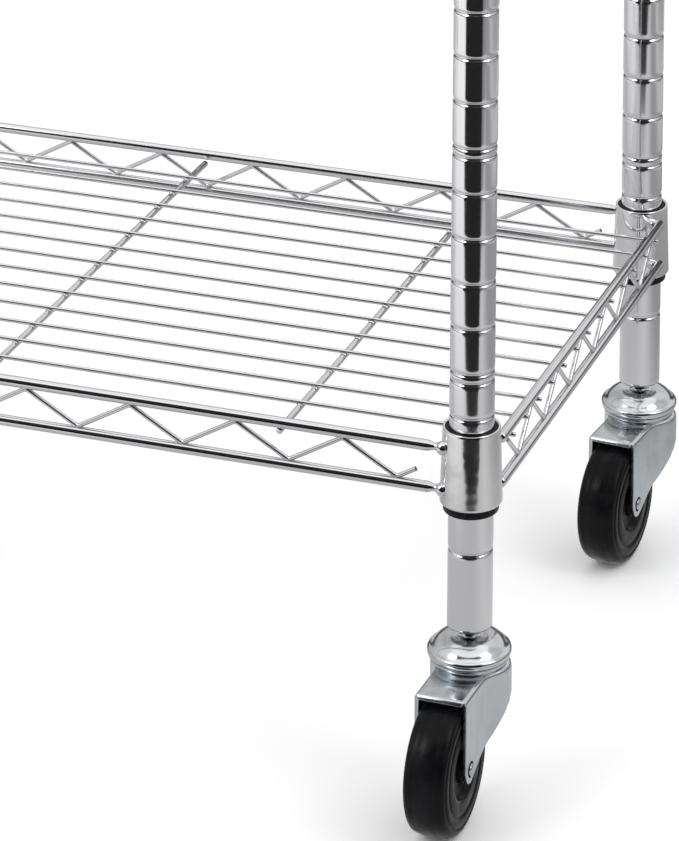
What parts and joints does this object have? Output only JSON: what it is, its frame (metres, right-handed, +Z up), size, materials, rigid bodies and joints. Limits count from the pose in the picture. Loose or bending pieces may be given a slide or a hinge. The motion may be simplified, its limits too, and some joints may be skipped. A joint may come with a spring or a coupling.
{
  "type": "rolling garment rack",
  "caption": "Rolling garment rack of chromed wire: grooved posts on swivel casters, a lower and an upper wire shelf and a hanging rod between end bars.",
  "frame": {"origin": "on the floor, under the middle of the rack's box", "axes": "+X along the rack, +Y from its front to its back, +Z up"},
  "size_m": [1.2074, 0.4345, 1.8793],
  "materials": {
    "chrome_tube": "bright chrome plate on steel tube",
    "chrome_wire": "bright chrome plate on welded steel wire",
    "zinc": "satin zinc plate on pressed steel",
    "rubber": "smooth black rubber",
    "black_plastic": "moulded black plastic"
  },
  "bodies": {
    "rack": {"caster_top_back_left": "zinc", "caster_top_back_right": "zinc", "caster_top_front_left": "zinc", "caster_top_front_right": "zinc", "hanger_bar_left": "chrome_tube", "hanger_bar_right": "chrome_tube", "hanger_sleeve_back_left": "black_plastic", "hanger_sleeve_back_right": "black_plastic", "hanger_sleeve_front_left": "black_plastic", "hanger_sleeve_front_right": "black_plastic", "hanging_rod": "chrome_tube", "lower_shelf_back_truss": "chrome_wire", "lower_shelf_deck": "chrome_wire", "lower_shelf_front_truss": "chrome_wire", "lower_shelf_left_end": "chrome_wire", "lower_shelf_right_end": "chrome_wire", "lower_shelf_sleeve_back_left": "black_plastic", "lower_shelf_sleeve_back_right": "black_plastic", "lower_shelf_sleeve_front_left": "black_plastic", "lower_shelf_sleeve_front_right": "black_plastic", "post_back_left": "chrome_tube", "post_back_right": "chrome_tube", "post_cap_back_left": "black_plastic", "post_cap_back_right": "black_plastic", "post_cap_front_left": "black_plastic", "post_cap_front_right": "black_plastic", "post_front_left": "chrome_tube", "post_front_right": "chrome_tube", "rod_bracket_left": "chrome_tube", "rod_bracket_right": "chrome_tube", "stem_insert_back_left": "zinc", "stem_insert_back_right": "zinc", "stem_insert_front_left": "zinc", "stem_insert_front_right": "zinc", "upper_shelf_back_truss": "chrome_wire", "upper_shelf_deck": "chrome_wire", "upper_shelf_front_truss": "chrome_wire", "upper_shelf_left_end": "chrome_wire", "upper_shelf_right_end": "chrome_wire", "upper_shelf_sleeve_back_left": "black_plastic", "upper_shelf_sleeve_back_right": "black_plastic", "upper_shelf_sleeve_front_left": "black_plastic", "upper_shelf_sleeve_front_right": "black_plastic"},
    "fork_front_left": {"caster_fork_front_left": "zinc", "caster_axle_front_left": "zinc"},
    "wheel_front_left": {"caster_wheel_front_left": "rubber"},
    "fork_front_right": {"caster_fork_front_right": "zinc", "caster_axle_front_right": "zinc"},
    "wheel_front_right": {"caster_wheel_front_right": "rubber"},
    "fork_back_left": {"caster_fork_back_left": "zinc", "caster_axle_back_left": "zinc"},
    "wheel_back_left": {"caster_wheel_back_left": "rubber"},
    "fork_back_right": {"caster_fork_back_right": "zinc", "caster_axle_back_right": "zinc"},
    "wheel_back_right": {"caster_wheel_back_right": "rubber"}
  },
  "joints": [
    {"name": "swivel_front_left", "type": "hinge", "parent": "rack", "child": "fork_front_left", "pos_m": [-0.58, -0.1426, 0.078], "axis": [0, 0, 1], "continuous": true},
    {"name": "roll_front_left", "type": "hinge", "parent": "fork_front_left", "child": "wheel_front_left", "pos_m": [-0.58265, -0.18051, 0.0365], "axis": [0.9976, -0.0698, 0], "continuous": true},
    {"name": "swivel_front_right", "type": "hinge", "parent": "rack", "child": "fork_front_right", "pos_m": [0.58, -0.1426, 0.078], "axis": [0, 0, 1], "continuous": true},
    {"name": "roll_front_right", "type": "hinge", "parent": "fork_front_right", "child": "wheel_front_right", "pos_m": [0.579, -0.18059, 0.0365], "axis": [0.9997, -0.0262, 0], "continuous": true},
    {"name": "swivel_back_left", "type": "hinge", "parent": "rack", "child": "fork_back_left", "pos_m": [-0.58, 0.1934, 0.078], "axis": [0, 0, 1], "continuous": true},
    {"name": "roll_back_left", "type": "hinge", "parent": "fork_back_left", "child": "wheel_back_left", "pos_m": [-0.58199, 0.15545, 0.0365], "axis": [0.9986, -0.0523, 0], "continuous": true},
    {"name": "swivel_back_right", "type": "hinge", "parent": "rack", "child": "fork_back_right", "pos_m": [0.58, 0.1934, 0.078], "axis": [0, 0, 1], "continuous": true},
    {"name": "roll_back_right", "type": "hinge", "parent": "fork_back_right", "child": "wheel_back_right", "pos_m": [0.57636, 0.15557, 0.0365], "axis": [0.9954, -0.0958, 0], "continuous": true}
  ]
}
